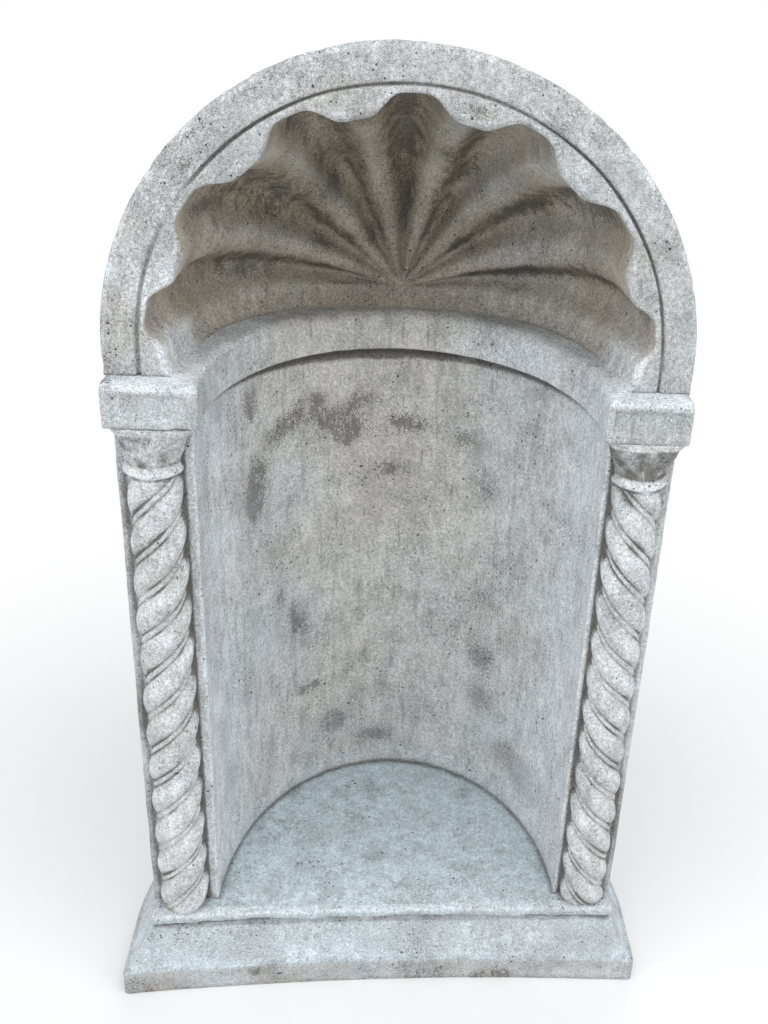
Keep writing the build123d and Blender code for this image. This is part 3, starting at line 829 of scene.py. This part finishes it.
FRONT_COUNT, DEPTH_COUNT, BASE_GATHER = 180, 90, 1.5
FASCIA_HEIGHT, QUIRK_HEIGHT, QUIRK_DEPTH = 39.0, 6.0, 2.5
BASE_BOW, LIP_BOW, BACK_BULGE = 13.0, 6.0, 25.0
FASCIA_BREAK, FRONT_BREAK, FRONT_SPLAY = 5.0, 3.5, 9.0
EDGE_RADIUS, LIP_ROUND, CORNER_RADIUS = 3.0, 5.0, 5.0
SPLAY_CURVE = 0.85


def base_loop(half, front, bow):
    """Plan of the base at one level: bowed front, straight sides, round and flat back."""
    across = np.linspace(-half, half, 61)
    bowed = [(x, -front + bow * (1 - (x / half) ** 2)) for x in across[1:-1]]
    bulge = BACK_Y - FRAME_DEPTH + BACK_BULGE
    stop = math.asin((BACK_Y - FRAME_DEPTH) / bulge)
    turns = np.linspace(0, stop, 40)
    side = [(half * math.cos(turn), FRAME_DEPTH + bulge * math.sin(turn)) for turn in turns]
    other_side = [(-x, y) for x, y in side[::-1]]
    corners = [(-half, -front), *bowed, (half, -front), *side, *other_side]
    radii = [CORNER_RADIUS, *[0] * len(bowed), CORNER_RADIUS, *[0] * (2 * len(side))]
    path, station = rounded_path(corners, radii)
    front_end = len(bowed) + 1
    side_end = front_end + len(side)
    keys = [0, station[front_end], station[side_end], station[side_end + 1], station[-1]]
    front_shares, side_shares = spread(FRONT_COUNT + 1, BASE_GATHER), spread(DEPTH_COUNT + 1, BASE_GATHER)
    shares = [front_shares, side_shares, front_shares, side_shares]
    return np.vstack([sample(path, *stretch) for stretch in zip(keys, keys[1:], shares)])


def base_levels():
    """Base and lip, level by level: height, half width, projection of the front and its bow."""
    levels = []
    for rise, drop in quarter_round(4):
        inset = EDGE_RADIUS * (1 - rise)
        levels.append((EDGE_RADIUS * drop, BASE_HALF - inset, BASE_FRONT - inset, BASE_BOW))
    break_z = FASCIA_HEIGHT - EDGE_RADIUS
    levels += [(z, BASE_HALF, BASE_FRONT, BASE_BOW) for z in np.linspace(EDGE_RADIUS, break_z, 12)[1:]]
    for rise, drop in quarter_round(6)[1:]:
        half, front = BASE_HALF - FASCIA_BREAK * drop, BASE_FRONT - FRONT_BREAK * drop
        levels.append((break_z + EDGE_RADIUS * rise, half, front, BASE_BOW))

    # Splay up to the recess under the lip
    foot, head = BASE_HALF - FASCIA_BREAK, JAMB_HALF - QUIRK_DEPTH
    foot_front = BASE_FRONT - FRONT_BREAK
    head_front = foot_front - FRONT_SPLAY
    head_z = SLAB_Z - QUIRK_HEIGHT
    for share in np.linspace(0, 1, 26)[1:]:
        lean = share**SPLAY_CURVE
        z = FASCIA_HEIGHT + (head_z - FASCIA_HEIGHT) * share
        levels.append((z, foot - (foot - head) * lean, foot_front - FRONT_SPLAY * lean, BASE_BOW))
    levels.append((SLAB_Z - 4.5, head - 1, head_front - 4, BASE_BOW))
    levels.append((SLAB_Z - 0.5, head - 1, head_front - 5, BASE_BOW))

    # Rounded lip
    for rise, drop in quarter_round(4):
        inset = EDGE_RADIUS * (1 - rise)
        levels.append((SLAB_Z + EDGE_RADIUS * drop, JAMB_HALF - inset, LIP_FRONT - inset, LIP_BOW))
    levels.append((FLOOR_Z - LIP_ROUND - 1.5, JAMB_HALF, LIP_FRONT, LIP_BOW))
    for rise, drop in quarter_round(6):
        z = FLOOR_Z - LIP_ROUND + LIP_ROUND * rise
        levels.append((z, JAMB_HALF - LIP_ROUND * drop, LIP_FRONT - LIP_ROUND * drop, LIP_BOW))
    return levels


def base_mesh():
    """Stack the base's plan loops and close the top with the floor, blended from its four sides."""
    rows = []
    for z, half, front, bow in base_levels():
        plan = base_loop(half, front, bow)
        rows.append(np.column_stack([plan, np.full(len(plan), z)]))
    faces = grid_faces(len(rows), len(rows[0]), True)
    points = np.vstack(rows)

    top = np.vstack([rows[-1], rows[-1][:1]])
    right_end = FRONT_COUNT + DEPTH_COUNT
    back_end = right_end + FRONT_COUNT
    front, right = top[: FRONT_COUNT + 1], top[FRONT_COUNT : right_end + 1]
    back, left = top[right_end : back_end + 1][::-1], top[back_end:][::-1]
    u = spread(FRONT_COUNT + 1, BASE_GATHER)[None, :, None]
    v = spread(DEPTH_COUNT + 1, BASE_GATHER)[:, None, None]
    floor = (1 - v) * front[None] + v * back[None] + (1 - u) * left[:, None] + u * right[:, None]
    floor -= (1 - u) * (1 - v) * front[0] + u * (1 - v) * front[-1]
    floor -= (1 - u) * v * back[0] + u * v * back[-1]
    faces += grid_faces(DEPTH_COUNT + 1, FRONT_COUNT + 1, False, len(points))
    return np.vstack([points, floor.reshape(-1, 3)]), faces


def base_masks(points):
    """Where the base is grimy, stained, worn pale, warm and brown, with painted shadow under the lip, painted shade
    on the floor along the wall and around the columns, and painted light on the splay.
    """
    x, y, z = points.T
    on_floor = z > FLOOR_Z - 1
    fascia = smooth(FASCIA_HEIGHT, FASCIA_HEIGHT - 4, z)
    low_fascia = smooth(FASCIA_HEIGHT + 3, FASCIA_HEIGHT - 22, z)
    splay = smooth(FASCIA_HEIGHT, FASCIA_HEIGHT + 5, z) * smooth(SLAB_Z - 4, SLAB_Z - 12, z)
    wall_line = np.hypot((x - OPENING_SHIFT) / OPENING_HALF, np.maximum(y, 0) / NICHE_DEPTH) - 1
    from_column = np.hypot(np.abs(x) - COLUMN_X, y)
    # Dark line under the lip: painted shadow mixed with dirt, stronger to the left
    crack_z = SLAB_Z - 12 - 7.5 * (1 - (x / JAMB_HALF) ** 2) * (y < 0)
    crack = smooth(crack_z - 5, crack_z + 2, z) * smooth(SLAB_Z + 1.5, SLAB_Z - 0.5, z) * smooth(60, -10, y)
    grime_and_shade = (0.95 + 0.6 * lattice_noise(points, 60, 35) + 0.4 * smooth(-120, -240, x)) * crack
    # Painted shade on the floor along the wall's foot and around the columns
    grime_and_shade += 0.75 * bump(wall_line, 0, 0.03) * on_floor * (y > -2)
    grime_and_shade += 0.6 * bump(from_column, COLUMN_EDGE, 6) * on_floor
    # Darker towards the bottom and on the sides and back
    grime_and_shade += 0.45 * smooth(16, 0, z) + 0.3 * (y > 20) * ~on_floor

    patina_and_shade = fascia * (0.18 + 0.35 * fractal(points, 70, 33))
    blots = smooth(0.0, 0.8, fractal(points, 80, 36))
    stain_and_shade = blots * (0.2 * on_floor * (y > 10) + 0.5 * splay + 0.7 * low_fascia)

    # Paler lip edge and front of the floor
    wear_and_highlight = 0.6 * bump(z, FLOOR_Z - 2, 4) * (y < -15) + 0.35 * on_floor * smooth(90, -20, y)
    # Painted light on the upward-facing splay and a painted highlight along its lower edge
    wear_and_highlight += 0.6 * splay + 0.3 * bump(z, FASCIA_HEIGHT + 2, 4)
    warm = np.where(on_floor, 0.0, 0.2 + 0.5 * fascia)
    return {"grime_and_shade": grime_and_shade, "stain_and_shade": stain_and_shade, "wear_and_highlight": wear_and_highlight, "warm": warm, "patina_and_shade": patina_and_shade}


def carve_lip(place, normal):
    """Uneven lip and quirk, as left by the mould."""
    lip = bump(place[:, 2], SLAB_Z, 7) * (place[:, 1] < -5)
    return place - normal * (2.2 * lip * fractal(place, 30, 12, 3))[:, None]


def build_base():
    points, faces = base_mesh()
    nodes = ["base_moulding", "floor_slab", "niche_floor"]
    make_piece("moulded_base", points, faces, base_masks(points), base_stone, nodes, carve=carve_lip)


# Columns: rope-twist shaft, neck ring and flared capital

# First strand's height on the front line, and the strands' spacing
STRANDS = {"left": (183.0, 52.0), "right": (211.7, 50.0)}
LEAD = 153.0
GROOVE_R, STRAND_R, FILLET_R = 24.6, 30.9, 27.4
STRAND_HALF = 0.40
COLUMN_TURN, COLUMN_BEARINGS, COLUMN_ROWS = 104, 93, 480
HEAD_SHIFT = {"left": 5.0, "right": -0.5}
CARVING_DEPTH = 1.3

# Neck ring and capital: height, half width and projection
HEAD_PROFILE = [
    (RING_LOW_Z - 2, 28.0, 28.0),
    (RING_LOW_Z + 0.5, 31.0, 31.0),
    (RING_LOW_Z + 2.5, 32.4, 32.4),
    (RING_LOW_Z + 5.5, 32.4, 32.4),
    (RING_LOW_Z + 8, 30.8, 30.4),
    (RING_LOW_Z + 11, 29.4, 28.2),
    (RING_HIGH_Z + 4, 29.8, 27.8),
    (RING_HIGH_Z + 10, 31.6, 28.2),
    (RING_HIGH_Z + 18, 34.2, 29.2),
    (RING_HIGH_Z + 25, 36.6, 30.2),
    (RING_HIGH_Z + 31, 38.8, 31.2),
    (BAND_LOW_Z - 6, 41.6, 32.2),
    (BAND_LOW_Z - 3, 43.4, 32.8),
    (BAND_LOW_Z + 1, 44.2, 33.0),
]


def head_radius(bearing, z, rise):
    """Radius of the neck ring and capital, which turns from round to nearly square as it rises."""
    heights, halves, fronts = zip(*HEAD_PROFILE)
    half, front = np.interp(z, heights, halves), np.interp(z, heights, fronts)
    square = 2 + 3 * rise**2
    return (np.abs(np.sin(bearing) / half) ** square + np.abs(np.cos(bearing) / front) ** square) ** (-1 / square)


def build_column(side_name, side):
    """One engaged column, its strands wavering a little as they climb."""
    bearings = np.radians(np.linspace(-COLUMN_TURN, COLUMN_TURN, COLUMN_BEARINGS))
    levels = FLOOR_Z - 1 + (BAND_LOW_Z + 1 - FLOOR_Z) * np.linspace(0, 1, COLUMN_ROWS)
    bearing, z = (grid.ravel() for grid in np.meshgrid(bearings, levels))
    probe = np.column_stack([30 * np.sin(bearing), -30 * np.cos(bearing), z + 900 * side])

    # Shaft: round strands with a thin fillet between each two
    first_z, spacing = STRANDS[side_name]
    waver = 0.07 * lattice_noise(probe, 75, 21)
    phase = (z - first_z + side * LEAD * bearing / (2 * math.pi)) / spacing + waver
    place = phase - np.round(phase)
    strand = np.clip(1 - (np.abs(place) / STRAND_HALF) ** 2, 0, 1) ** 0.62
    fillet = np.clip(1 - ((0.5 - np.abs(place)) / (0.5 - STRAND_HALF)) ** 2, 0, 1) ** 0.7
    swell = 1 + 0.16 * lattice_noise(probe, 60, 22)
    shaft = GROOVE_R + (STRAND_R - GROOVE_R) * strand * swell
    shaft += (FILLET_R - GROOVE_R) * fillet * (strand == 0)
    foot = np.clip((z - FLOOR_Z + 2) / 14, 0, 1)
    shaft *= 0.8 + 0.2 * np.sqrt(1 - (1 - foot) ** 2)

    # Neck ring and capital, with worn carving on the bell
    rise = np.clip((z - RING_HIGH_Z) / (BAND_LOW_Z - RING_HIGH_Z), 0, 1)
    bell = smooth(RING_LOW_Z + 9, RING_LOW_Z + 14, z)
    carved = bell * smooth(BAND_LOW_Z - 5, BAND_LOW_Z - 11, z)
    carving = lattice_noise(probe, 11, 25) + 0.6 * lattice_noise(probe, 6, 26)
    head = head_radius(bearing, z, rise) + CARVING_DEPTH * carving * carved
    upper = smooth(RING_LOW_Z - 2, RING_LOW_Z + 1, z)
    radius = shaft * (1 - upper) + head * upper
    x = side * COLUMN_X + radius * np.sin(bearing) + HEAD_SHIFT[side_name] * rise**1.5
    points = np.column_stack([x, -radius * np.cos(bearing), z])
    faces = grid_faces(len(levels), len(bearings), True)

    # Weathering: painted shade mixed with dirt in the creases, under the strands, under the neck ring, at the foot,
    # beside the jamb and on the bell; painted highlights on the strands and ring
    right = side > 0
    on_shaft = z < RING_LOW_Z
    patchy = lattice_noise(probe, 26, 27)
    neck_lip = bump(z, RING_LOW_Z + 4, 3.5)
    inner_side = smooth(72, 92, -side * np.degrees(bearing))
    outer_side = smooth(60, 88, side * np.degrees(bearing))
    groove = (1 - strand) * (1 - 0.6 * fillet) * on_shaft * (z > FLOOR_Z + 6)
    crease = bump(np.abs(place), STRAND_HALF, 0.04) * on_shaft
    underside = smooth(-0.08, -0.4, place) * (np.abs(place) < STRAND_HALF) * on_shaft
    top_of_shaft = smooth(RING_LOW_Z - 120, RING_LOW_Z, z) * (1 - bell) * (1 - neck_lip)
    # Painted shade with some dirt in the creases, the grooves and on each strand's lower side
    grime_and_shade = (0.45 + 0.3 * patchy) * crease + (0.2 + 0.2 * patchy) * groove + (0.22 + 0.2 * patchy) * underside
    # Painted shadow under the neck ring and painted shade at the foot
    grime_and_shade += 0.85 * bump(z, RING_LOW_Z - 1.5, 2.2) + 0.4 * bump(z, FLOOR_Z, 6)
    # Painted shade beside the jamb, strongest on the side towards the niche
    grime_and_shade += 1.3 * inner_side * (1 - 0.5 * bell) + 0.35 * outer_side
    # Dirt and painted shade on the bell, deeper in the carving, in a line just above the ring, and darker on the
    # right column
    grime_and_shade += (0.44 - 0.3 * carving + 0.3 * right) * carved + 0.25 * bell * bump(z, RING_LOW_Z + 13, 4)
    grime_and_shade += 0.3 * right * top_of_shaft * (0.6 + patchy)
    # Painted highlights on the strands' crests and on the neck ring's lip, except on the side towards the niche
    wear_and_highlight = (0.55 + 0.4 * patchy) * strand * bump(place, 0.08, 0.22) * on_shaft + neck_lip * (1 - inner_side)
    masks = {"grime_and_shade": grime_and_shade, "wear_and_highlight": wear_and_highlight, "warm": np.full(len(points), 0.3)}
    nodes = [side_name + "_shaft", side_name + "_neck_ring", side_name + "_capital"]
    make_piece(side_name + "_column", points, faces, masks, column_stone, nodes, rough=COLUMN_ROUGH)


build_body()
build_hood()
build_base()
build_column("left", -1)
build_column("right", 1)


# Stage: pale floor, soft lamps, camera at the photograph's place

STAGE_HALF = 30
STAGE_COLOUR = (0.9, 0.9, 0.9, 1)
WHITE_START, WHITE_FULL = 0.5, 1.3
SKY_COLOUR, SKY_STRENGTH = (0.90, 0.95, 1.0, 1), 0.42
LAMP_TARGET = (0, 0, 0.6)

# Lamps: name, place, size in metres, power in watts
LAMPS = [
    ("sky_lamp", (0.0, -1.35, 3.3), 3.0, 68),
    ("left_lamp", (-2.8, -1.9, 1.8), 2.0, 32),
    ("right_lamp", (2.8, -1.9, 1.8), 2.0, 32),
    ("back_lamp", (0.4, 2.4, 2.4), 2.4, 26),
]

# Camera solved from the photograph: place, angles in radians, focal length and principal point in pixels
CAMERA_PLACE = (-0.0342, (-1092.0 + FACE_Y) * MM, 1.2556)
YAW, PITCH, ROLL = 0.1242, -0.4526, 0.0765
FOCAL, MIDDLE_U, MIDDLE_V = 1083.8, 491.55, 508.25
PHOTO_WIDTH, PHOTO_HEIGHT = 768, 1024
SENSOR = 36


def build_stage():
    """Wide pale floor that keeps the object's shadow and fades to white further out."""
    mesh = bpy.data.meshes.new("stage_floor")
    corners = [(-STAGE_HALF, -STAGE_HALF, 0), (STAGE_HALF, -STAGE_HALF, 0)]
    corners += [(STAGE_HALF, STAGE_HALF, 0), (-STAGE_HALF, STAGE_HALF, 0)]
    mesh.from_pydata(corners, [], [(0, 1, 2, 3)])
    floor = bpy.data.objects.new("stage_floor", mesh)
    bpy.context.collection.objects.link(floor)
    material, n, shader = new_material("stage_floor")
    shader.inputs["Base Color"].default_value = STAGE_COLOUR
    shader.inputs["Roughness"].default_value = 0.95
    shader.inputs["Specular IOR Level"].default_value = 0.1
    length = n.add("VectorMath", operation="LENGTH")
    n.put(length.inputs[0], n.add("TexCoord").outputs["Object"])
    far = n.times(n.ramp(length.outputs["Value"], WHITE_START, WHITE_FULL), n.seen_directly())
    surface = n.blend_shaders(far, shader, n.add("Emission"))
    n.put(n.tree.nodes["Material Output"].inputs["Surface"], surface)
    mesh.materials.append(material)


def area_lamp(name, place, size, power):
    """Soft square lamp aimed at the middle of the niche."""
    lamp = bpy.data.lights.new(name, "AREA")
    lamp.size = size
    lamp.energy = power
    item = bpy.data.objects.new(name, lamp)
    item.location = place
    item.rotation_mode = "QUATERNION"
    item.rotation_quaternion = (Vector(LAMP_TARGET) - Vector(place)).to_track_quat("-Z", "Y")
    bpy.context.collection.objects.link(item)


def build_world():
    """Even pale surroundings, white to the camera."""
    world = bpy.data.worlds.new("studio")
    bpy.context.scene.world = world
    world.use_nodes = True
    n = Nodes(world.node_tree)
    shade = n.tree.nodes["Background"]
    shade.inputs["Color"].default_value = SKY_COLOUR
    shade.inputs["Strength"].default_value = SKY_STRENGTH
    white = n.add("Background")
    white.inputs["Color"].default_value = (1, 1, 1, 1)
    surface = n.blend_shaders(n.seen_directly(), shade, white)
    n.put(n.tree.nodes["World Output"].inputs["Surface"], surface)


def build_camera():
    """Camera at the photograph's angle, standing about level with the crown."""
    across = Vector((math.cos(YAW), -math.sin(YAW), 0))
    ahead = Vector((math.cos(PITCH) * math.sin(YAW), math.cos(PITCH) * math.cos(YAW), math.sin(PITCH)))
    upward = Vector((-math.sin(PITCH) * math.sin(YAW), -math.sin(PITCH) * math.cos(YAW), math.cos(PITCH)))
    right = math.cos(ROLL) * across + math.sin(ROLL) * upward
    up = -math.sin(ROLL) * across + math.cos(ROLL) * upward
    camera = bpy.data.cameras.new("camera")
    camera.sensor_width = SENSOR
    camera.lens = SENSOR * FOCAL / PHOTO_HEIGHT
    camera.shift_x = (PHOTO_WIDTH / 2 - MIDDLE_U) / PHOTO_HEIGHT
    camera.shift_y = (MIDDLE_V - PHOTO_HEIGHT / 2) / PHOTO_HEIGHT
    item = bpy.data.objects.new("camera", camera)
    axes = Matrix((right, up, -ahead)).transposed().to_4x4()
    item.matrix_world = Matrix.Translation(Vector(CAMERA_PLACE)) @ axes
    bpy.context.collection.objects.link(item)
    bpy.context.scene.camera = item


build_stage()
build_world()
for lamp_name, lamp_place, lamp_size, lamp_power in LAMPS:
    area_lamp(lamp_name, lamp_place, lamp_size, lamp_power)
build_camera()
bpy.context.scene.view_settings.view_transform = "Standard"
